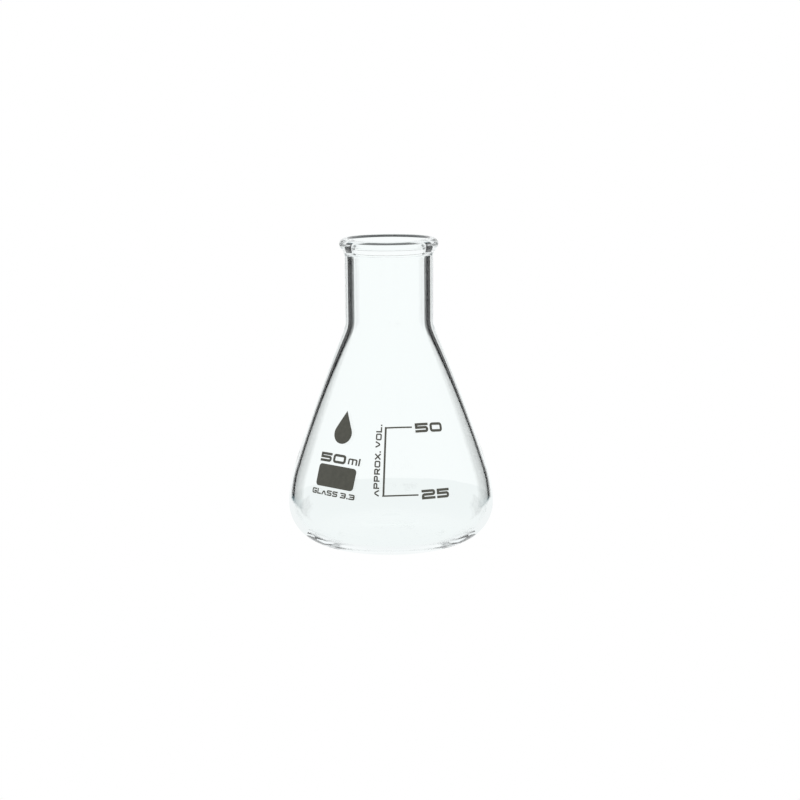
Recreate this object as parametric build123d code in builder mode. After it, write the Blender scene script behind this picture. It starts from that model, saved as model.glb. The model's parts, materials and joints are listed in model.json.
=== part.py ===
from build123d import *
import os
from math import acos, asin, atan2, cos, degrees, hypot, pi, radians, sin, tan

# Conical (Erlenmeyer) flask, 50 ml, narrow neck, with fired-on enamel print.
#
# Frame: +Z up along the axis of the flask, origin on the axis at the height of
# the surface it stands on. The print faces -Y. Sizes are in millimetres.
# The glass is one piece: base, wall, shoulder, neck and rim bead have no seams.

# ---------------------------------------------------------------- dimensions
HEIGHT = 76.0
BODY_DIAMETER = 51.8
NECK_DIAMETER = 22.0
RIM_DIAMETER = 24.6

HEEL_RADIUS = 8.9          # rounded edge between the base and the wall
SIDE_RADIUS = 31.0         # convex lower wall, between the heel and the cone
CONE_RADIUS = 450.0        # slight outward swell of the cone
SHOULDER_RADIUS = 7.5      # hollow curve from the cone to the neck
SHOULDER_HEIGHT = 55.65    # where that curve reaches the neck

WALL = 1.2                 # side of the body; it thickens up the cone to the neck
NECK_WALL = 1.8
INNER_CONE_RADIUS = 280.0  # inside of that swell
BASE_WALL = 1.9
FOOT_INNER_RADIUS = 13.0   # inside of the flat ring that the flask stands on
PUSH_UP = 0.9              # how far the middle of the base stands off the surface
CENTRE_THICKNESS = 2.1     # glass at the middle of the base

BEAD_RADIUS = 1.5          # rounded outside of the rim
BEAD_LEAN = 45.0           # slope of the bead's underside where it turns into the neck, degrees

ENAMEL = 0.06              # thickness of the fired print
PRINT_REACH = 3.0          # how far a flat print block is carried through the wall

# ------------------------------------------------------------ worked-out sizes
BODY_RADIUS = BODY_DIAMETER / 2
NECK_RADIUS = NECK_DIAMETER / 2
BORE_RADIUS = NECK_RADIUS - NECK_WALL
RIM_RADIUS = RIM_DIAMETER / 2

SIDE_CENTRE = (BODY_RADIUS - SIDE_RADIUS, HEEL_RADIUS)
SHOULDER_CENTRE = (NECK_RADIUS + SHOULDER_RADIUS, SHOULDER_HEIGHT)

INNER_HEEL_RADIUS = HEEL_RADIUS - BASE_WALL
INNER_HEEL_FOOT = BODY_RADIUS - WALL - INNER_HEEL_RADIUS
INNER_SIDE_RADIUS = SIDE_RADIUS - WALL
INNER_SHOULDER_RADIUS = SHOULDER_RADIUS + NECK_WALL

BEAD_CENTRE_RADIUS = RIM_RADIUS - BEAD_RADIUS
BEAD_CENTRE_HEIGHT = HEIGHT - BEAD_RADIUS
LIP_RADIUS = BEAD_CENTRE_RADIUS - BORE_RADIUS
BEAD_TURN = radians(BEAD_LEAN)
BEAD_START_RADIUS = BEAD_CENTRE_RADIUS + BEAD_RADIUS * cos(BEAD_TURN)
BEAD_START_HEIGHT = BEAD_CENTRE_HEIGHT - BEAD_RADIUS * sin(BEAD_TURN)
BEAD_HOLLOW_RADIUS = (BEAD_START_RADIUS - NECK_RADIUS) / (1 - cos(BEAD_TURN))
BEAD_FOOT_HEIGHT = BEAD_START_HEIGHT - BEAD_HOLLOW_RADIUS * sin(BEAD_TURN)


def cone_arc(radius, side_radius, shoulder_radius):
    """Arc that touches the body's side and the shoulder: its centre, then the leans of its ends."""
    across = SHOULDER_CENTRE[0] - SIDE_CENTRE[0]
    up = SHOULDER_CENTRE[1] - SIDE_CENTRE[1]
    gap = hypot(across, up)
    to_side = radius - side_radius
    to_shoulder = radius + shoulder_radius
    apart = acos((gap ** 2 + to_side ** 2 - to_shoulder ** 2) / (2 * gap * to_side))
    direction = atan2(up, across) + apart
    centre = (
        SIDE_CENTRE[0] + to_side * cos(direction), SIDE_CENTRE[1] + to_side * sin(direction)
    )
    high_lean = atan2(SHOULDER_CENTRE[1] - centre[1], SHOULDER_CENTRE[0] - centre[0])
    return centre, direction - pi, high_lean


CONE_CENTRE, LOW_LEAN, HIGH_LEAN = cone_arc(CONE_RADIUS, SIDE_RADIUS, SHOULDER_RADIUS)
INNER_CONE_CENTRE, INNER_LOW_LEAN, INNER_HIGH_LEAN = cone_arc(
    INNER_CONE_RADIUS, INNER_SIDE_RADIUS, INNER_SHOULDER_RADIUS
)
CONE_FOOT_HEIGHT = SIDE_CENTRE[1] + SIDE_RADIUS * sin(LOW_LEAN)


def wall_at(height):
    """Outside radius of the flask, and the lean of its surface in radians."""
    centre, radius = CONE_CENTRE, CONE_RADIUS
    if height < CONE_FOOT_HEIGHT:
        centre, radius = SIDE_CENTRE, SIDE_RADIUS
    lean = asin((height - centre[1]) / radius)
    return centre[0] + radius * cos(lean), lean


def print_plane(turn, height, tilt=0.0):
    """Plane that touches the outside of the flask.

    turn is the angle round the axis from the front, positive to the right.
    tilt turns the print clockwise in that plane. Both are in degrees.
    """
    radius, lean = wall_at(height)
    angle = radians(turn)
    across = Vector(cos(angle), sin(angle), 0)
    outward = Vector(sin(angle) * cos(lean), -cos(angle) * cos(lean), sin(lean))
    centre = Vector(radius * sin(angle), -radius * cos(angle), height)
    return Plane(origin=centre, x_dir=across.rotate(Axis((0, 0, 0), outward), -tilt), z_dir=outward)


# -------------------------------------------------------------------- glyphs
# Each glyph is a width and a list of strokes, in capital heights. A stroke
# runs along the middle of its line, on a grid from 0 to 1 both ways. A corner
# is rounded unless a third number, 0, makes it sharp.
RING = [(0, 0), (1, 0), (1, 1), (0, 1), (0, 0)]
FIVE = [(1, 1), (0, 1, 0), (0, 0.54, 0), (1, 0.54), (1, 0), (0, 0)]
ESS = [(1, 1), (0, 1), (0, 0.52), (1, 0.52), (1, 0), (0, 0)]
STEM = [(0, 0), (0, 1)]
BOWL = [(0, 1), (1, 1), (1, 0.42), (0, 0.42)]
GLYPHS = {
    "0": (1.45, [RING]),
    "2": (1.45, [[(0, 1), (1, 1), (1, 0.5), (0, 0.5), (0, 0, 0), (1, 0)]]),
    "3": (1.30, [[(0, 1), (1, 1), (1, 0), (0, 0)], [(0.25, 0.5), (1, 0.5)]]),
    "5": (1.40, [FIVE]),
    "A": (1.20, [[(0, 0), (0.5, 1), (1, 0)]]),
    "G": (1.30, [[(1, 1), (0, 1), (0, 0), (1, 0, 0), (1, 0.46, 0), (0.55, 0.46)]]),
    "L": (1.05, [[(0, 1), (0, 0, 0), (1, 0)]]),
    "O": (1.30, [RING]),
    "P": (1.15, [STEM, BOWL]),
    "R": (1.15, [STEM, BOWL, [(0.5, 0.42), (1, 0)]]),
    "S": (1.25, [ESS]),
    "V": (1.20, [[(0, 1), (0.5, 0), (1, 1)]]),
    "X": (1.15, [[(0, 0), (1, 1)], [(0, 1), (1, 0)]]),
    "m": (1.48, [[(0, 0), (0, 0.8), (1, 0.8), (1, 0)], [(0.5, 0.8), (0.5, 0)]]),
    "l": (0.24, [[(0.5, 0), (0.5, 1)]]),
    ".": (0.24, [[(0.5, 0), (0.5, 0.02)]]),
    " ": (0.30, []),
}
LETTER_GAP = 0.20
ROUNDING = 0.75            # radius of a rounded corner, in stroke widths
CORNER_ROOM = 0.45         # most of a run that one rounded corner may take up
LEAST_SPAN = 0.02          # width between the edge strokes of a glyph of one stroke, in stroke widths


def lengthened(points, amount):
    """The same stroke with both of its free ends drawn out by an amount."""
    ends = [points[0], points[-1]]
    for index, (end, beside) in enumerate(((points[0], points[1]), (points[-1], points[-2]))):
        share = amount / hypot(end[0] - beside[0], end[1] - beside[1])
        ends[index] = tuple(e + (e - b) * share for e, b in zip(end, beside))
    return [ends[0]] + points[1:-1] + [ends[1]]


def corner_radii(points, sharp, pen):
    """A rounding for each corner along a stroke that its two runs have room for."""
    radii = []
    for before, here, after, is_sharp in zip(points, points[1:], points[2:], sharp[1:]):
        if is_sharp:
            radii.append(0.0)
            continue
        first = hypot(here[0] - before[0], here[1] - before[1])
        second = hypot(after[0] - here[0], after[1] - here[1])
        turn_in = atan2(here[1] - before[1], here[0] - before[0])
        turn_out = atan2(after[1] - here[1], after[0] - here[0])
        turn = acos(cos(turn_out - turn_in))
        room = CORNER_ROOM * min(first, second) / tan(turn / 2)
        radii.append(min(room, ROUNDING * pen))
    return radii


def write(text, cap, pen, length, centre=0.0):
    """Draw text on the sketch: capital height, stroke width, overall length and middle."""
    natural = sum(GLYPHS[letter][0] for letter in text) + LETTER_GAP * (len(text) - 1)
    unit = length / natural
    left = centre - length / 2
    for letter in text:
        width, strokes = GLYPHS[letter]
        span = max(width * unit - pen, pen * LEAST_SPAN)
        for stroke in strokes:
            path = []
            for x, y, *_ in stroke:
                path.append((left + pen / 2 + x * span, -cap / 2 + pen / 2 + y * (cap - pen)))
            if path[0] == path[-1]:
                with BuildLine() as line:
                    FilletPolyline(*path, radius=ROUNDING * pen, close=True)
                outer = offset(line.wires()[0], amount=pen / 2, mode=Mode.PRIVATE)
                inner = offset(line.wires()[0], amount=-pen / 2, mode=Mode.PRIVATE)
                add(make_face(outer.edges(), mode=Mode.PRIVATE))
                add(make_face(inner.edges(), mode=Mode.PRIVATE), mode=Mode.SUBTRACT)
                continue
            path = lengthened(path, pen / 2)
            with BuildLine() as line:
                if len(path) == 2:
                    Line(*path)
                else:
                    sharp = [len(point) == 3 for point in stroke]
                    FilletPolyline(*path, radius=corner_radii(path, sharp, pen))
            trace(line.edges(), line_width=pen)
        left += (width + LETTER_GAP) * unit


# --------------------------------------------------------------------- glass
# Half section, outside from the axis to the rim, then inside back to the axis.
with BuildPart() as flask_glass:
    with BuildSketch(Plane.XZ):
        with BuildLine():
            Spline(
                (0, PUSH_UP), (FOOT_INNER_RADIUS, 0), tangents=[(1, 0), (1, 0)]
            )
            Line((FOOT_INNER_RADIUS, 0), (BODY_RADIUS - HEEL_RADIUS, 0))
            CenterArc((BODY_RADIUS - HEEL_RADIUS, HEEL_RADIUS), HEEL_RADIUS, -90, 90)
            CenterArc(SIDE_CENTRE, SIDE_RADIUS, 0, degrees(LOW_LEAN))
            cone_turn = degrees(HIGH_LEAN - LOW_LEAN)
            CenterArc(CONE_CENTRE, CONE_RADIUS, degrees(LOW_LEAN), cone_turn)
            CenterArc(SHOULDER_CENTRE, SHOULDER_RADIUS, 180, degrees(HIGH_LEAN))
            Line((NECK_RADIUS, SHOULDER_HEIGHT), (NECK_RADIUS, BEAD_FOOT_HEIGHT))
            hollow_centre = (NECK_RADIUS + BEAD_HOLLOW_RADIUS, BEAD_FOOT_HEIGHT)
            CenterArc(hollow_centre, BEAD_HOLLOW_RADIUS, 180, -BEAD_LEAN)
            bead_centre = (BEAD_CENTRE_RADIUS, BEAD_CENTRE_HEIGHT)
            CenterArc(bead_centre, BEAD_RADIUS, -BEAD_LEAN, 90 + BEAD_LEAN)
            TangentArc(
                (BEAD_CENTRE_RADIUS, HEIGHT), (BORE_RADIUS, HEIGHT - LIP_RADIUS), tangent=(-1, 0)
            )
            Line((BORE_RADIUS, HEIGHT - LIP_RADIUS), (BORE_RADIUS, SHOULDER_HEIGHT))
            CenterArc(SHOULDER_CENTRE, INNER_SHOULDER_RADIUS, 180, degrees(INNER_HIGH_LEAN))
            inner_turn = degrees(INNER_HIGH_LEAN - INNER_LOW_LEAN)
            CenterArc(INNER_CONE_CENTRE, INNER_CONE_RADIUS, degrees(INNER_LOW_LEAN), inner_turn)
            CenterArc(SIDE_CENTRE, INNER_SIDE_RADIUS, 0, degrees(INNER_LOW_LEAN))
            CenterArc((INNER_HEEL_FOOT, HEEL_RADIUS), INNER_HEEL_RADIUS, -90, 90)
            Spline(
                (INNER_HEEL_FOOT, BASE_WALL),
                (0, PUSH_UP + CENTRE_THICKNESS),
                tangents=[(-1, 0), (-1, 0)],
            )
            Line((0, PUSH_UP + CENTRE_THICKNESS), (0, PUSH_UP))
        make_face()
    revolve(axis=Axis.Z)

# ---------------------------------------------------------------- enamel coat
# A thin coat over the printed part of the wall. Each print is cut out of it,
# so every print lies on the glass and follows its curve.
COAT_BOTTOM = 13.5
COAT_TOP = 37.0
COAT_BOTTOM_LEAN = degrees(wall_at(COAT_BOTTOM)[1])
COAT_TOP_LEAN = degrees(wall_at(COAT_TOP)[1])
SIDE_ARC = degrees(LOW_LEAN) - COAT_BOTTOM_LEAN
CONE_ARC = COAT_TOP_LEAN - degrees(LOW_LEAN)

with BuildPart() as enamel_coat:
    with BuildSketch(Plane.XZ):
        with BuildLine():
            under_side = CenterArc(SIDE_CENTRE, SIDE_RADIUS, COAT_BOTTOM_LEAN, SIDE_ARC)
            under_cone = CenterArc(CONE_CENTRE, CONE_RADIUS, degrees(LOW_LEAN), CONE_ARC)
            over_side = CenterArc(SIDE_CENTRE, SIDE_RADIUS + ENAMEL, COAT_BOTTOM_LEAN, SIDE_ARC)
            over_cone = CenterArc(CONE_CENTRE, CONE_RADIUS + ENAMEL, degrees(LOW_LEAN), CONE_ARC)
            Line(under_side @ 0, over_side @ 0)
            Line(under_cone @ 1, over_cone @ 1)
        make_face()
    revolve(axis=Axis.Z)

# --------------------------------------------------------------------- print
# A place is a turn round the axis, a height and a tilt, as print_plane takes them.
UPPER_MARK = 32.15         # height of the 50 ml graduation
LOWER_MARK = 16.60         # height of the 25 ml graduation

NUMERAL_CAP = 2.30
NUMERAL_PEN = 0.62
NUMERAL_LENGTH = 7.30
UPPER_NUMERAL_PLACE = (28.1, 31.70, 3.8)
LOWER_NUMERAL_PLACE = (25.6, 16.42, 2.1)

with BuildPart() as upper_numeral:
    with BuildSketch(print_plane(*UPPER_NUMERAL_PLACE)):
        write("50", NUMERAL_CAP, NUMERAL_PEN, NUMERAL_LENGTH)
    extrude(amount=PRINT_REACH, both=True)
    add(enamel_coat.part, mode=Mode.INTERSECT)

with BuildPart() as lower_numeral:
    with BuildSketch(print_plane(*LOWER_NUMERAL_PLACE)):
        write("25", NUMERAL_CAP, NUMERAL_PEN, NUMERAL_LENGTH)
    extrude(amount=PRINT_REACH, both=True)
    add(enamel_coat.part, mode=Mode.INTERSECT)

# The bracket is one upright line with a tick to the right at each graduation.
# Each tick has a plane of its own at its middle, so that it runs level.
BRACKET_PLACE = (-3.78, (UPPER_MARK + LOWER_MARK) / 2, 1.3)
BRACKET_LEAN = wall_at(BRACKET_PLACE[1])[1]
BRACKET_SPREAD = wall_at(LOWER_MARK)[0] - wall_at(UPPER_MARK)[0]
BRACKET_RISE = UPPER_MARK - LOWER_MARK
BRACKET_LENGTH = BRACKET_RISE * cos(BRACKET_LEAN) + BRACKET_SPREAD * sin(BRACKET_LEAN)
BRACKET_PEN = 0.46
TICK_PEN = 0.36
UPPER_TICK_START = -3.22   # turn at which a tick leaves the upright line
LOWER_TICK_START = -4.34
UPPER_TICK_LENGTH = 6.1
LOWER_TICK_LENGTH = 8.3
TICKS = (
    (UPPER_MARK, UPPER_TICK_START, UPPER_TICK_LENGTH),
    (LOWER_MARK, LOWER_TICK_START, LOWER_TICK_LENGTH),
)

with BuildPart() as graduation_bracket:
    with BuildSketch(print_plane(*BRACKET_PLACE)):
        Rectangle(BRACKET_PEN, BRACKET_LENGTH + TICK_PEN)
    for mark_height, start, length in TICKS:
        middle = start + degrees(length / 2 / wall_at(mark_height)[0])
        with BuildSketch(print_plane(middle, mark_height)):
            Rectangle(length + BRACKET_PEN, TICK_PEN)
    extrude(amount=PRINT_REACH, both=True)
    add(enamel_coat.part, mode=Mode.INTERSECT)

# This line of lettering reads upwards beside the bracket.
VOLUME_PLACE = (-8.1, 24.65, -89.2)
VOLUME_CAP = 1.42
VOLUME_PEN = 0.34
VOLUME_LENGTH = 17.3

with BuildPart() as volume_legend:
    with BuildSketch(print_plane(*VOLUME_PLACE)):
        write("APPROX. VOL.", VOLUME_CAP, VOLUME_PEN, VOLUME_LENGTH)
    extrude(amount=PRINT_REACH, both=True)
    add(enamel_coat.part, mode=Mode.INTERSECT)

# The left-hand block is one decal, so its four prints share a tilt.
BLOCK_TILT = 1.5

CAPACITY_PLACE = (-33.8, 24.30, BLOCK_TILT)
CAPACITY_CAP = 2.25
CAPACITY_PEN = 0.62
CAPACITY_LENGTH = 7.8
CAPACITY_MIDDLE = -1.93    # middle of the number, left of the middle of the line
UNIT_CAP = 1.80
UNIT_PEN = 0.37
UNIT_LENGTH = 3.1
UNIT_MIDDLE = 4.2          # middle of the unit, right of the middle of the line

with BuildPart() as capacity_legend:
    with BuildSketch(print_plane(*CAPACITY_PLACE)):
        write("50", CAPACITY_CAP, CAPACITY_PEN, CAPACITY_LENGTH, CAPACITY_MIDDLE)
        write("ml", UNIT_CAP, UNIT_PEN, UNIT_LENGTH, UNIT_MIDDLE)
    extrude(amount=PRINT_REACH, both=True)
    add(enamel_coat.part, mode=Mode.INTERSECT)

SPOT_PLACE = (-34.7, 20.10, BLOCK_TILT)
SPOT_LENGTH = 11.1
SPOT_WIDTH = 5.45
SPOT_CORNER = 0.9

with BuildPart() as marking_spot:
    with BuildSketch(print_plane(*SPOT_PLACE)):
        RectangleRounded(SPOT_LENGTH, SPOT_WIDTH, SPOT_CORNER)
    extrude(amount=PRINT_REACH, both=True)
    add(enamel_coat.part, mode=Mode.INTERSECT)

TYPE_PLACE = (-35.1, 16.15, BLOCK_TILT)
TYPE_CAP = 1.34
TYPE_PEN = 0.33
TYPE_LENGTH = 12.7

with BuildPart() as glass_type_legend:
    with BuildSketch(print_plane(*TYPE_PLACE)):
        write("GLASS 3.3", TYPE_CAP, TYPE_PEN, TYPE_LENGTH)
    extrude(amount=PRINT_REACH, both=True)
    add(enamel_coat.part, mode=Mode.INTERSECT)

# A plain drop: a round foot with two straight sides that meet at a point.
DROP_PLACE = (-34.6, 30.20, BLOCK_TILT)
DROP_RADIUS = 2.55
DROP_POINT = 5.6           # height of the point over the middle of the round foot
DROP_TOUCH = asin(DROP_RADIUS / DROP_POINT)
DROP_SIDE = DROP_RADIUS * cos(DROP_TOUCH)
DROP_RISE = DROP_RADIUS * sin(DROP_TOUCH)

with BuildPart() as droplet_mark:
    with BuildSketch(print_plane(*DROP_PLACE)):
        Circle(DROP_RADIUS)
        with BuildLine():
            Polyline((DROP_SIDE, DROP_RISE), (0, DROP_POINT), (-DROP_SIDE, DROP_RISE), close=True)
        make_face()
    extrude(amount=PRINT_REACH, both=True)
    add(enamel_coat.part, mode=Mode.INTERSECT)

# -------------------------------------------------------------------- export
os.makedirs("parts", exist_ok=True)

flask_glass.part.label = "flask_glass"
export_step(flask_glass.part, "parts/flask_glass.step")

graduation_bracket.part.label = "graduation_bracket"
export_step(graduation_bracket.part, "parts/graduation_bracket.step")

upper_numeral.part.label = "upper_numeral"
export_step(upper_numeral.part, "parts/upper_numeral.step")

lower_numeral.part.label = "lower_numeral"
export_step(lower_numeral.part, "parts/lower_numeral.step")

volume_legend.part.label = "volume_legend"
export_step(volume_legend.part, "parts/volume_legend.step")

capacity_legend.part.label = "capacity_legend"
export_step(capacity_legend.part, "parts/capacity_legend.step")

marking_spot.part.label = "marking_spot"
export_step(marking_spot.part, "parts/marking_spot.step")

glass_type_legend.part.label = "glass_type_legend"
export_step(glass_type_legend.part, "parts/glass_type_legend.step")

droplet_mark.part.label = "droplet_mark"
export_step(droplet_mark.part, "parts/droplet_mark.step")
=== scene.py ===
import json
from math import acos, atan2, cos, hypot, pi, radians, sin

import bmesh
import bpy
from mathutils import Matrix, Quaternion, Vector


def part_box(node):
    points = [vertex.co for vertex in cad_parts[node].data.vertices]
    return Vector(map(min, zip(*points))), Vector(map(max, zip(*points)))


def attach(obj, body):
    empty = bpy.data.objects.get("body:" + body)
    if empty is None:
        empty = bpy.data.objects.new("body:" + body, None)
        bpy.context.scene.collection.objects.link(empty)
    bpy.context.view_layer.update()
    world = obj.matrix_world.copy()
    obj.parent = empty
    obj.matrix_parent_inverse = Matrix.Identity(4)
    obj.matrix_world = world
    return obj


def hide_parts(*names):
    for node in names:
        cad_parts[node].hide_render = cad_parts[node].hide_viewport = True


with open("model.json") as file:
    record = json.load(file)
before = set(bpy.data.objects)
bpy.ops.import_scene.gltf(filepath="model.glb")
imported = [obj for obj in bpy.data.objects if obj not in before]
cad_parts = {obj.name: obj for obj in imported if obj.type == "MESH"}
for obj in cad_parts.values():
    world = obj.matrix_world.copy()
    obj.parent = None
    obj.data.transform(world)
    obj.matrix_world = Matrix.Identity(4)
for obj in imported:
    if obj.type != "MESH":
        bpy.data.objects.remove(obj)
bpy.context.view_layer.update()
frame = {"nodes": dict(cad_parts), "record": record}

MM = 0.001
DEGREES = 180 / pi
PRINT_NODES = sorted(name for name in frame["nodes"] if name != "flask_glass")

# ---------------------------------------------------------------- dimensions
# The outline of the glass. Overall sizes come from the frame, and the wall and
# the curves between them repeat the design's own dimensions.
MOUNTS = {mount["name"]: mount for mount in frame["record"]["mounts"]}
GLASS_LOW, GLASS_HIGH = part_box("flask_glass")
BODY_RADIUS = GLASS_HIGH.x
HEIGHT = GLASS_HIGH.z
BORE_RADIUS = MOUNTS["neck_bore"]["dims"]["r_mm"] * MM
NECK_RADIUS = MOUNTS["neck_clamp_zone"]["dims"]["r_mm"] * MM
RIM_RADIUS = 12.3 * MM

HEEL_RADIUS = 8.9 * MM
SIDE_RADIUS = 31.0 * MM
CONE_RADIUS = 450.0 * MM
INNER_CONE_RADIUS = 280.0 * MM
SHOULDER_RADIUS = 7.5 * MM
SHOULDER_HEIGHT = 55.65 * MM
WALL = 1.2 * MM
BASE_WALL = 1.9 * MM
FOOT_INNER_RADIUS = 13.0 * MM
PUSH_UP = 0.9 * MM
CENTRE_THICKNESS = 2.1 * MM
BEAD_RADIUS = 1.5 * MM
BEAD_LEAN = 45.0           # slope of the bead's underside where it turns into the neck, degrees

SIDE_CENTRE = (BODY_RADIUS - SIDE_RADIUS, HEEL_RADIUS)
SHOULDER_CENTRE = (NECK_RADIUS + SHOULDER_RADIUS, SHOULDER_HEIGHT)

# The fired print is sunk a little into the wall and stands a little off it.
PRINT_SINK = 0.02 * MM
PRINT_STAND = 0.05 * MM
PRINT_MIDDLE = 0.03 * MM   # halfway through the coat
PRINT_EDGE = 0.35 * MM     # longest edge, so that a print follows the wall
PRINT_ROUNDS = 6           # most times that its edges are halved
PRINT_MERGE = 0.001 * MM
PRINT_FLAT = radians(1.0)  # faces this close to level are joined first

SPINS = 640                # steps round the glass

# Steps along each stretch of the outline.
BASE_STEPS = 24
FOOT_STEPS = 4
HEEL_STEPS = 36
SIDE_STEPS = 20
CONE_STEPS = 48
SHOULDER_STEPS = 14
NECK_STEPS = 16
HOLLOW_STEPS = 14
BEAD_STEPS = 32
LIP_STEPS = 14
BORE_STEPS = 20
INNER_HEEL_STEPS = 30
FLOOR_STEPS = 28


# ------------------------------------------------------------------- outline
def arc(centre, radius, start, end, steps):
    """Points of an arc between two angles in degrees, without the first one."""
    points = []
    for step in range(1, steps + 1):
        angle = radians(start + (end - start) * step / steps)
        points.append((centre[0] + radius * cos(angle), centre[1] + radius * sin(angle)))
    return points


def run(start, end, steps):
    """Points of a straight run, without the first one."""
    return [
        (start[0] + (end[0] - start[0]) * step / steps, start[1] + (end[1] - start[1]) * step / steps)
        for step in range(1, steps + 1)
    ]


def ease(start, end, steps):
    """Points of an S-curve that leaves and arrives level, without the first one."""
    points = []
    for step in range(1, steps + 1):
        share = step / steps
        lift = share * share * (3 - 2 * share)
        points.append((start[0] + (end[0] - start[0]) * share, start[1] + (end[1] - start[1]) * lift))
    return points


def cone_arc(radius, side_radius, shoulder_radius):
    """Arc that touches the body's side and the shoulder: its centre, then the degrees its ends lean."""
    across = SHOULDER_CENTRE[0] - SIDE_CENTRE[0]
    up = SHOULDER_CENTRE[1] - SIDE_CENTRE[1]
    gap = hypot(across, up)
    to_side = radius - side_radius
    to_shoulder = radius + shoulder_radius
    apart = acos((gap ** 2 + to_side ** 2 - to_shoulder ** 2) / (2 * gap * to_side))
    turn = atan2(up, across) + apart
    centre = (SIDE_CENTRE[0] + to_side * cos(turn), SIDE_CENTRE[1] + to_side * sin(turn))
    high = atan2(SHOULDER_CENTRE[1] - centre[1], SHOULDER_CENTRE[0] - centre[0])
    return centre, (turn - pi) * DEGREES, high * DEGREES


CONE_CENTRE, CONE_LOW, CONE_HIGH = cone_arc(CONE_RADIUS, SIDE_RADIUS, SHOULDER_RADIUS)
CONE_FOOT_HEIGHT = SIDE_CENTRE[1] + SIDE_RADIUS * sin(radians(CONE_LOW))


def glass_outline():
    """Half section of the glass, from the middle of the base round the outside and back inside."""
    heel_foot = BODY_RADIUS - HEEL_RADIUS
    points = [(0.0, PUSH_UP)]
    points += ease(points[-1], (FOOT_INNER_RADIUS, 0.0), BASE_STEPS)
    points += run(points[-1], (heel_foot, 0.0), FOOT_STEPS)
    points += arc((heel_foot, HEEL_RADIUS), HEEL_RADIUS, -90, 0, HEEL_STEPS)
    points += arc(SIDE_CENTRE, SIDE_RADIUS, 0, CONE_LOW, SIDE_STEPS)
    points += arc(CONE_CENTRE, CONE_RADIUS, CONE_LOW, CONE_HIGH, CONE_STEPS)
    points += arc(SHOULDER_CENTRE, SHOULDER_RADIUS, 180 + CONE_HIGH, 180, SHOULDER_STEPS)
    bead = (RIM_RADIUS - BEAD_RADIUS, HEIGHT - BEAD_RADIUS)
    turn = radians(BEAD_LEAN)
    hollow = (bead[0] + BEAD_RADIUS * cos(turn) - NECK_RADIUS) / (1 - cos(turn))
    bead_foot = bead[1] - (BEAD_RADIUS + hollow) * sin(turn)
    points += run(points[-1], (NECK_RADIUS, bead_foot), NECK_STEPS)
    points += arc((NECK_RADIUS + hollow, bead_foot), hollow, 180, 180 - BEAD_LEAN, HOLLOW_STEPS)
    points += arc(bead, BEAD_RADIUS, -BEAD_LEAN, 90, BEAD_STEPS)
    lip = bead[0] - BORE_RADIUS
    points += arc((bead[0], HEIGHT - lip), lip, 90, 180, LIP_STEPS)
    points += run(points[-1], (BORE_RADIUS, SHOULDER_CENTRE[1]), BORE_STEPS)
    inner_side = SIDE_RADIUS - WALL
    inner_shoulder = SHOULDER_RADIUS + NECK_RADIUS - BORE_RADIUS
    inner_centre, inner_low, inner_high = cone_arc(INNER_CONE_RADIUS, inner_side, inner_shoulder)
    points += arc(SHOULDER_CENTRE, inner_shoulder, 180, 180 + inner_high, SHOULDER_STEPS)
    points += arc(inner_centre, INNER_CONE_RADIUS, inner_high, inner_low, CONE_STEPS)
    points += arc(SIDE_CENTRE, inner_side, inner_low, 0, SIDE_STEPS)
    inner_heel = HEEL_RADIUS - BASE_WALL
    inner_heel_foot = BODY_RADIUS - WALL - inner_heel
    points += arc((inner_heel_foot, HEEL_RADIUS), inner_heel, 0, -90, INNER_HEEL_STEPS)
    points += ease(points[-1], (0.0, PUSH_UP + CENTRE_THICKNESS), FLOOR_STEPS)
    return points


def spin(name, outline):
    """A closed smooth mesh: the outline turned round the Z axis, which it starts and ends on."""
    mesh = bpy.data.meshes.new(name)
    shape = bmesh.new()
    rings = []
    for radius, height in outline[1:-1]:
        ring = []
        for step in range(SPINS):
            angle = 2 * pi * step / SPINS
            ring.append(shape.verts.new((radius * cos(angle), radius * sin(angle), height)))
        rings.append(ring)
    first = shape.verts.new((0, 0, outline[0][1]))
    last = shape.verts.new((0, 0, outline[-1][1]))
    for step in range(SPINS):
        ahead = (step + 1) % SPINS
        shape.faces.new((first, rings[0][ahead], rings[0][step]))
        shape.faces.new((last, rings[-1][step], rings[-1][ahead]))
        for low, high in zip(rings, rings[1:]):
            shape.faces.new((low[step], low[ahead], high[ahead], high[step]))
    bmesh.ops.recalc_face_normals(shape, faces=shape.faces)
    for face in shape.faces:
        face.smooth = True
    shape.to_mesh(mesh)
    shape.free()
    piece = bpy.data.objects.new(name, mesh)
    bpy.context.scene.collection.objects.link(piece)
    return piece


# --------------------------------------------------------------------- print
def off_wall(point):
    """Distance of a point from the outside of the printed part of the wall, and the outward direction."""
    radius = hypot(point.x, point.y)
    centre, wall = CONE_CENTRE, CONE_RADIUS
    if point.z < CONE_FOOT_HEIGHT:
        centre, wall = SIDE_CENTRE, SIDE_RADIUS
    away = Vector((radius - centre[0], point.z - centre[1]))
    gap = away.length - wall
    away.normalize()
    outward = Vector((point.x / radius * away.x, point.y / radius * away.x, away.y))
    return gap, outward


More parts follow.
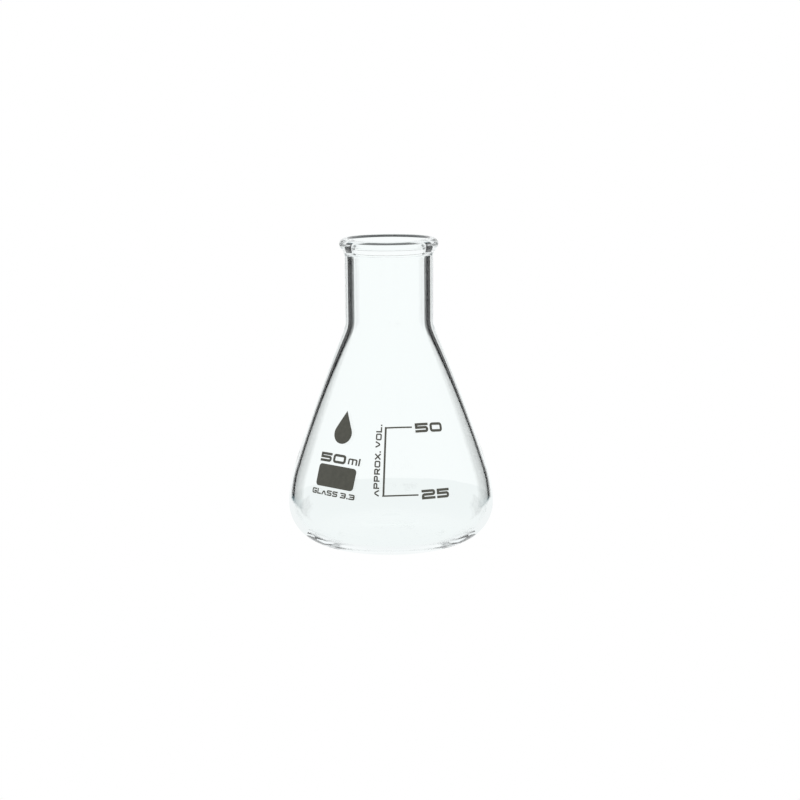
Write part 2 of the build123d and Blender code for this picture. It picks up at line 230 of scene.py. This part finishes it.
def fired_print(node):
    """The print of a CAD node, with edges short enough to follow the wall, fused into the glass."""
    source = frame["nodes"][node].data
    shape = bmesh.new()
    shape.from_mesh(source)
    bmesh.ops.remove_doubles(shape, verts=shape.verts, dist=PRINT_MERGE)
    bmesh.ops.dissolve_limit(shape, angle_limit=PRINT_FLAT, verts=shape.verts, edges=shape.edges)
    bmesh.ops.triangulate(shape, faces=shape.faces)
    for _ in range(PRINT_ROUNDS):
        long = [edge for edge in shape.edges if edge.calc_length() > PRINT_EDGE]
        if not long:
            break
        bmesh.ops.subdivide_edges(shape, edges=long, cuts=1)
        bmesh.ops.triangulate(shape, faces=[face for face in shape.faces if len(face.verts) > 3])
    for vertex in shape.verts:
        gap, outward = off_wall(vertex.co)
        wanted = PRINT_STAND if gap > PRINT_MIDDLE else -PRINT_SINK
        vertex.co += outward * (wanted - gap)
    bmesh.ops.recalc_face_normals(shape, faces=shape.faces)
    mesh = bpy.data.meshes.new(node + "_fired")
    shape.to_mesh(mesh)
    shape.free()
    piece = bpy.data.objects.new(node + "_fired", mesh)
    bpy.context.scene.collection.objects.link(piece)
    return piece


# ----------------------------------------------------------------- materials
GLASS_COLOUR = (0.985, 1.0, 0.995, 1.0)
GLASS_IOR = 1.473
SWELL_SCALE = 55.0             # slow unevenness of the blown wall
SWELL_DETAIL = 1.0
SWELL_STRENGTH = 0.08
SWELL_HEIGHT = 0.2 * MM

INK_DARK = (0.050, 0.049, 0.037, 1)
INK_LIGHT = (0.068, 0.066, 0.051, 1)
INK_DARK_BELOW = 0.3           # reach of the two tones in the mottle
INK_LIGHT_ABOVE = 0.7
INK_SMOOTH = 0.42              # roughness where the coat shines most
INK_ROUGH = 0.60               # and least
MOTTLE_SCALE = 900.0
MOTTLE_DETAIL = 4.0
MOTTLE_STRENGTH = 0.25
MOTTLE_HEIGHT = 0.02 * MM


def new_material(name):
    """An empty node material and its tree."""
    material = bpy.data.materials.new(name)
    material.use_nodes = True
    tree = material.node_tree
    tree.nodes.clear()
    return material, tree


def clear_glass():
    """Clear blown glass with a trace of green, and the faint unevenness of a blown wall."""
    material, tree = new_material("clear_glass")
    output = tree.nodes.new("ShaderNodeOutputMaterial")
    glass = tree.nodes.new("ShaderNodeBsdfPrincipled")
    glass.inputs["Base Color"].default_value = GLASS_COLOUR
    glass.inputs["Roughness"].default_value = 0.0
    glass.inputs["IOR"].default_value = GLASS_IOR
    glass.inputs["Transmission Weight"].default_value = 1.0
    place = tree.nodes.new("ShaderNodeTexCoord")
    swell = tree.nodes.new("ShaderNodeTexNoise")
    swell.inputs["Scale"].default_value = SWELL_SCALE
    swell.inputs["Detail"].default_value = SWELL_DETAIL
    bump = tree.nodes.new("ShaderNodeBump")
    bump.inputs["Strength"].default_value = SWELL_STRENGTH
    bump.inputs["Distance"].default_value = SWELL_HEIGHT
    tree.links.new(place.outputs["Object"], swell.inputs["Vector"])
    tree.links.new(swell.outputs["Fac"], bump.inputs["Height"])
    tree.links.new(bump.outputs["Normal"], glass.inputs["Normal"])
    tree.links.new(glass.outputs["BSDF"], output.inputs["Surface"])
    return material


def fired_enamel():
    """Warm dark grey ceramic ink, a little mottled, with the low sheen of a fired coat."""
    material, tree = new_material("fired_enamel")
    output = tree.nodes.new("ShaderNodeOutputMaterial")
    ink = tree.nodes.new("ShaderNodeBsdfPrincipled")
    place = tree.nodes.new("ShaderNodeTexCoord")
    mottle = tree.nodes.new("ShaderNodeTexNoise")
    mottle.inputs["Scale"].default_value = MOTTLE_SCALE
    mottle.inputs["Detail"].default_value = MOTTLE_DETAIL
    tone = tree.nodes.new("ShaderNodeValToRGB")
    tone.color_ramp.elements[0].position = INK_DARK_BELOW
    tone.color_ramp.elements[0].color = INK_DARK
    tone.color_ramp.elements[1].position = INK_LIGHT_ABOVE
    tone.color_ramp.elements[1].color = INK_LIGHT
    sheen = tree.nodes.new("ShaderNodeMapRange")
    sheen.inputs["To Min"].default_value = INK_SMOOTH
    sheen.inputs["To Max"].default_value = INK_ROUGH
    bump = tree.nodes.new("ShaderNodeBump")
    bump.inputs["Strength"].default_value = MOTTLE_STRENGTH
    bump.inputs["Distance"].default_value = MOTTLE_HEIGHT
    tree.links.new(place.outputs["Object"], mottle.inputs["Vector"])
    tree.links.new(mottle.outputs["Fac"], tone.inputs["Fac"])
    tree.links.new(mottle.outputs["Fac"], sheen.inputs["Value"])
    tree.links.new(mottle.outputs["Fac"], bump.inputs["Height"])
    tree.links.new(tone.outputs["Color"], ink.inputs["Base Color"])
    tree.links.new(sheen.outputs["Result"], ink.inputs["Roughness"])
    tree.links.new(bump.outputs["Normal"], ink.inputs["Normal"])
    tree.links.new(ink.outputs["BSDF"], output.inputs["Surface"])
    return material


# -------------------------------------------------------------------- pieces
glass = spin("spun_glass", glass_outline())
glass.data.materials.append(clear_glass())
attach(glass, "root")
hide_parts("flask_glass")

ENAMEL = fired_enamel()
for node in PRINT_NODES:
    mark = fired_print(node)
    mark.data.materials.append(ENAMEL)
    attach(mark, "root")
    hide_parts(node)

# -------------------------------------------------------------------- camera
CAMERA_DISTANCE = 0.4059
CAMERA_HEIGHT = 0.1137
CAMERA_DROP = radians(10.96)
CAMERA_YAW = radians(-0.35)
CAMERA_ROLL = radians(-0.47)
CAMERA_LENS = 73.8
CAMERA_SENSOR = 36.0
CAMERA_NEAR = 0.01
CAMERA_FAR = 50.0

camera_data = bpy.data.cameras.new("camera")
camera_data.lens = CAMERA_LENS
camera_data.sensor_width = CAMERA_SENSOR
camera_data.clip_start = CAMERA_NEAR
camera_data.clip_end = CAMERA_FAR
camera = bpy.data.objects.new("camera", camera_data)
camera.location = (0.0, -CAMERA_DISTANCE, CAMERA_HEIGHT)
camera.rotation_mode = "QUATERNION"
level = Quaternion((1, 0, 0), pi / 2)
camera.rotation_quaternion = (
    Quaternion((0, 0, 1), CAMERA_YAW)
    @ Quaternion((1, 0, 0), -CAMERA_DROP)
    @ level
    @ Quaternion((0, 0, 1), CAMERA_ROLL)
)
bpy.context.scene.collection.objects.link(camera)
bpy.context.scene.camera = camera

# The set is laid out once, square to the main view, and doesn't follow the camera.
SET_FRAME = Matrix.Translation(camera.location) @ camera.rotation_quaternion.to_matrix().to_4x4()


# -------------------------------------------------------------------- studio
# Bright-field glassware lighting: a white panel behind the flask between two
# dark cards, with white again over the cards, in a pale room. The room, the
# table and the lamps stand still in the world, so other views see them from
# other sides.
WHITE = (1.0, 1.0, 1.0, 1.0)

ROOM_RADIUS = 12.0
ROOM_SEGMENTS = 96
ROOM_RINGS = 48
EDGE_SOFTNESS = radians(0.8)

# Angles are seen from the flask: sideways from the far side of the main view,
# and up or down from its line of sight.
PANEL_COLOUR = (0.98, 0.995, 1.0, 1.0)
PANEL_HALF = radians(24.5)
PANEL_FOOT = radians(-14.0)
BELOW_COLOUR = (0.05, 0.055, 0.055, 1.0)       # under the panel
CARD_COLOUR = (0.008, 0.0085, 0.0085, 1.0)
CARD_OUTER = radians(60.0)
CARD_TOP = radians(27.0)
OVER_COLOUR = (0.95, 0.98, 1.0, 1.0)           # over the cards
CARD_FOOT = radians(-2.5)
CARD_SHADOW_COLOUR = (0.065, 0.13, 0.15, 1.0)    # painted shadow of the cards on the table at their foot, darker and bluish
# lower edge of the painted shadow of the cards on the table
CARD_SHADOW_END = radians(-8.5)
ROOM_COLOUR = (0.90, 0.925, 0.93, 1.0)


def emitter(name, colour, strength):
    """A material that only gives off light."""
    material, tree = new_material(name)
    output = tree.nodes.new("ShaderNodeOutputMaterial")
    light = tree.nodes.new("ShaderNodeEmission")
    light.inputs["Color"].default_value = colour
    light.inputs["Strength"].default_value = strength
    tree.links.new(light.outputs["Emission"], output.inputs["Surface"])
    return material


def math_node(tree, kind, first, second=None):
    """Result of a sum on one or two values, each a number or an output socket."""
    node = tree.nodes.new("ShaderNodeMath")
    node.operation = kind
    for socket, value in zip(node.inputs, (first, second)):
        if value is None:
            continue
        if isinstance(value, (int, float)):
            socket.default_value = value
        else:
            tree.links.new(value, socket)
    return node.outputs[0]


def soft_step(tree, value, edge, softness):
    """0 below an edge, 1 above it, smooth across its softness on both sides."""
    node = tree.nodes.new("ShaderNodeMapRange")
    node.interpolation_type = "SMOOTHSTEP"
    node.inputs["From Min"].default_value = edge - softness
    node.inputs["From Max"].default_value = edge + softness
    tree.links.new(value, node.inputs["Value"])
    return node.outputs["Result"]


def blend_colour(tree, share, first, second):
    """First colour where the share is 0, second where it is 1. Each is a tuple or an output socket."""
    node = tree.nodes.new("ShaderNodeMix")
    node.data_type = "RGBA"
    tree.links.new(share, node.inputs["Factor"])
    colours = [socket for socket in node.inputs if socket.type == "RGBA"]
    for socket, value in zip(colours, (first, second)):
        if isinstance(value, tuple):
            socket.default_value = value
        else:
            tree.links.new(value, socket)
    return [socket for socket in node.outputs if socket.type == "RGBA"][0]


def studio_light():
    """Light of the room by direction, in the fixed frame of the set."""
    material, tree = new_material("studio_light")
    output = tree.nodes.new("ShaderNodeOutputMaterial")
    light = tree.nodes.new("ShaderNodeEmission")
    place = tree.nodes.new("ShaderNodeTexCoord")
    axes = tree.nodes.new("ShaderNodeSeparateXYZ")
    unit = tree.nodes.new("ShaderNodeVectorMath")
    unit.operation = "NORMALIZE"
    tree.links.new(place.outputs["Object"], unit.inputs[0])
    tree.links.new(unit.outputs["Vector"], axes.inputs["Vector"])
    ahead = math_node(tree, "MULTIPLY", axes.outputs["Z"], -1.0)
    aside = math_node(tree, "ABSOLUTE", math_node(tree, "ARCTAN2", axes.outputs["X"], ahead))
    above = math_node(tree, "ARCSINE", axes.outputs["Y"])

    def edge(value, where):
        return soft_step(tree, value, where, EDGE_SOFTNESS)

    behind = blend_colour(tree, edge(above, PANEL_FOOT), BELOW_COLOUR, PANEL_COLOUR)
    # Painted shadow: from the cards' foot down, a darker bluish strip stands in for the cards' shadow on
    # the table, then the room below.
    cards_and_shadow = blend_colour(tree, edge(above, CARD_FOOT), CARD_SHADOW_COLOUR, CARD_COLOUR)
    cards_and_shadow = blend_colour(tree, edge(above, CARD_SHADOW_END), ROOM_COLOUR, cards_and_shadow)
    cards_and_shadow = blend_colour(tree, edge(above, CARD_TOP), cards_and_shadow, OVER_COLOUR)
    middle = blend_colour(tree, edge(aside, PANEL_HALF), behind, cards_and_shadow)
    shown = blend_colour(tree, edge(aside, CARD_OUTER), middle, ROOM_COLOUR)
    tree.links.new(shown, light.inputs["Color"])
    tree.links.new(light.outputs["Emission"], output.inputs["Surface"])
    return material


room_mesh = bpy.data.meshes.new("studio_room")
shape = bmesh.new()
bmesh.ops.create_uvsphere(shape, u_segments=ROOM_SEGMENTS, v_segments=ROOM_RINGS, radius=ROOM_RADIUS)
shape.to_mesh(room_mesh)
shape.free()
room = bpy.data.objects.new("studio_room", room_mesh)
bpy.context.scene.collection.objects.link(room)
room_mesh.materials.append(studio_light())
room.matrix_world = SET_FRAME @ Matrix.Translation((0, 0, -CAMERA_DISTANCE))
room.visible_camera = False
room.visible_shadow = False

# The table round the foot of the flask, as the glass sees it.
TABLE_RADIUS = 62.0 * MM
TABLE_SEGMENTS = 96
TABLE_DROP = 0.02 * MM         # under the foot of the flask
TABLE_COLOUR = (0.90, 0.925, 0.93, 1.0)

table_mesh = bpy.data.meshes.new("table_top")
shape = bmesh.new()
bmesh.ops.create_circle(shape, cap_ends=True, radius=TABLE_RADIUS, segments=TABLE_SEGMENTS)
shape.to_mesh(table_mesh)
shape.free()
table = bpy.data.objects.new("table_top", table_mesh)
bpy.context.scene.collection.objects.link(table)
table_mesh.materials.append(emitter("table_light", TABLE_COLOUR, 1.0))
table.location.z = GLASS_LOW.z - TABLE_DROP
table.visible_camera = False
table.visible_shadow = False

# The pale floor that the camera sees.
FLOOR_HALF = 40.0
FLOOR_DROP = 0.04 * MM         # under the foot of the flask
FLOOR_CORNERS = [
    (-FLOOR_HALF, -FLOOR_HALF, 0),
    (FLOOR_HALF, -FLOOR_HALF, 0),
    (FLOOR_HALF, FLOOR_HALF, 0),
    (-FLOOR_HALF, FLOOR_HALF, 0),
]
floor_mesh = bpy.data.meshes.new("floor")
floor_mesh.from_pydata(FLOOR_CORNERS, [], [(0, 1, 2, 3)])
floor = bpy.data.objects.new("floor", floor_mesh)
bpy.context.scene.collection.objects.link(floor)
floor.location.z = GLASS_LOW.z - FLOOR_DROP
floor_mesh.materials.append(emitter("pale_floor", WHITE, 1.0))
floor.visible_transmission = False
floor.visible_glossy = False

world = bpy.data.worlds.new("studio")
bpy.context.scene.world = world
world.use_nodes = True
world.node_tree.nodes["Background"].inputs["Color"].default_value = WHITE
world.node_tree.nodes["Background"].inputs["Strength"].default_value = 1.0

# Lamps for the print. Their places are in the frame of the set, from the main
# view's standpoint, and the glass doesn't show them.
KEY_PLACE = (-0.9, 0.9, 0.2)
KEY_SIZE = 0.5
KEY_POWER = 2.0
FILL_PLACE = (1.1, 0.5, 0.2)
FILL_SIZE = 0.6
FILL_POWER = 3.5


def soft_light(name, place, size, power):
    """A square softbox that stands at a place of the set and is aimed at the flask."""
    data = bpy.data.lights.new(name, "AREA")
    data.size = size
    data.energy = power
    lamp = bpy.data.objects.new(name, data)
    bpy.context.scene.collection.objects.link(lamp)
    target = SET_FRAME @ Vector((0, 0, -CAMERA_DISTANCE))
    where = SET_FRAME @ Vector(place)
    lamp.location = where
    lamp.rotation_mode = "QUATERNION"
    lamp.rotation_quaternion = (target - where).to_track_quat("-Z", "Y")
    lamp.visible_camera = False
    lamp.visible_glossy = False
    lamp.visible_transmission = False


soft_light("key", KEY_PLACE, KEY_SIZE, KEY_POWER)
soft_light("fill", FILL_PLACE, FILL_SIZE, FILL_POWER)

# Light that is piped along the wall and round the heel takes many turns.
LIGHT_BOUNCES = 128

scene = bpy.context.scene
scene.view_settings.view_transform = "Standard"
scene.cycles.max_bounces = LIGHT_BOUNCES
scene.cycles.transmission_bounces = LIGHT_BOUNCES
scene.cycles.glossy_bounces = LIGHT_BOUNCES
